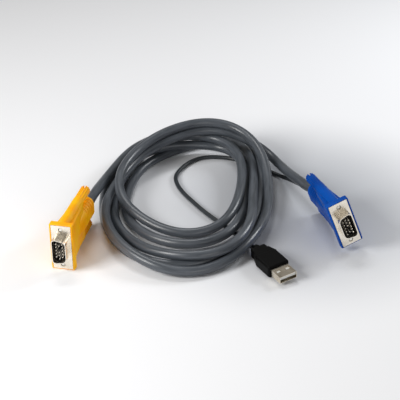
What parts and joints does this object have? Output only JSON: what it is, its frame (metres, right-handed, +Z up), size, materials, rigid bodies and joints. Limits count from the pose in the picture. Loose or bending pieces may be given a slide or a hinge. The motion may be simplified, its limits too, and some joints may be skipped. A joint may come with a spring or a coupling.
{
  "type": "kvm cable",
  "caption": "Coiled cable joining video plugs with thumbscrews at both ends, one end also feeding a thin lead to a USB plug.",
  "frame": {"origin": "on the floor, under the middle of the box around the plugs", "axes": "+Z up from the floor; +X from the yellow plug towards the blue plug; +Y away from the viewer, towards the far side of the coil"},
  "size_m": [0.196, 0.2129, 0.038],
  "materials": {
    "cable_jacket": "satin grey-blue PVC jacket",
    "thin_jacket": "satin dark grey PVC jacket",
    "black_moulding": "satin",
    "gold_plate": "flash gold over brass",
    "white_plastic": "matt",
    "usb_steel": "bright nickel plate",
    "black_plastic": "satin",
    "clear_filler": "matt",
    "screw_steel": "nickel plate",
    "nickel_steel": "nickel plate, warm",
    "yellow_moulding": "satin",
    "blue_moulding": "satin"
  },
  "bodies": {
    "cable": {"blue_front_shell": "nickel_steel", "blue_hood": "blue_moulding", "blue_inner_mould": "clear_filler", "blue_insulator": "black_plastic", "blue_lead": "cable_jacket", "blue_pin_01": "gold_plate", "blue_pin_02": "gold_plate", "blue_pin_03": "gold_plate", "blue_pin_04": "gold_plate", "blue_pin_05": "gold_plate", "blue_pin_06": "gold_plate", "blue_pin_07": "gold_plate", "blue_pin_08": "gold_plate", "blue_pin_09": "gold_plate", "blue_pin_10": "gold_plate", "blue_pin_11": "gold_plate", "blue_pin_12": "gold_plate", "blue_pin_13": "gold_plate", "blue_pin_14": "gold_plate", "blue_rear_shell": "nickel_steel", "coil": "cable_jacket", "usb_contact_1": "gold_plate", "usb_contact_2": "gold_plate", "usb_contact_3": "gold_plate", "usb_contact_4": "gold_plate", "usb_lead": "thin_jacket", "usb_mould": "black_moulding", "usb_shell": "usb_steel", "usb_tongue": "white_plastic", "yellow_front_shell": "nickel_steel", "yellow_hood": "yellow_moulding", "yellow_inner_mould": "clear_filler", "yellow_insulator": "black_plastic", "yellow_lead": "cable_jacket", "yellow_pin_01": "gold_plate", "yellow_pin_02": "gold_plate", "yellow_pin_03": "gold_plate", "yellow_pin_04": "gold_plate", "yellow_pin_05": "gold_plate", "yellow_pin_06": "gold_plate", "yellow_pin_07": "gold_plate", "yellow_pin_08": "gold_plate", "yellow_pin_09": "gold_plate", "yellow_pin_10": "gold_plate", "yellow_pin_11": "gold_plate", "yellow_pin_12": "gold_plate", "yellow_pin_13": "gold_plate", "yellow_pin_14": "gold_plate", "yellow_rear_shell": "nickel_steel"},
    "yellow_lower_thumbscrew": {"yellow_lower_screw": "screw_steel", "yellow_lower_knob": "yellow_moulding"},
    "yellow_upper_thumbscrew": {"yellow_upper_screw": "screw_steel", "yellow_upper_knob": "yellow_moulding"},
    "blue_lower_thumbscrew": {"blue_lower_screw": "screw_steel", "blue_lower_knob": "blue_moulding"},
    "blue_upper_thumbscrew": {"blue_upper_screw": "screw_steel", "blue_upper_knob": "blue_moulding"}
  },
  "joints": [
    {"name": "yellow_lower_thumbscrew_turn", "type": "hinge", "parent": "cable", "child": "yellow_lower_thumbscrew", "pos_m": [-0.08112, 0.01891, 0.00365], "axis": [-0.2198, -0.9755, 0], "continuous": true},
    {"name": "yellow_upper_thumbscrew_turn", "type": "hinge", "parent": "cable", "child": "yellow_upper_thumbscrew", "pos_m": [-0.08112, 0.01891, 0.02865], "axis": [-0.2198, -0.9755, 0], "continuous": true},
    {"name": "blue_lower_thumbscrew_turn", "type": "hinge", "parent": "cable", "child": "blue_lower_thumbscrew", "pos_m": [0.07906, 0.03557, 0.00416], "axis": [0.2572, -0.9599, 0.1115], "continuous": true},
    {"name": "blue_upper_thumbscrew_turn", "type": "hinge", "parent": "cable", "child": "blue_upper_thumbscrew", "pos_m": [0.07013, 0.03588, 0.02749], "axis": [0.2572, -0.9599, 0.1115], "continuous": true}
  ]
}
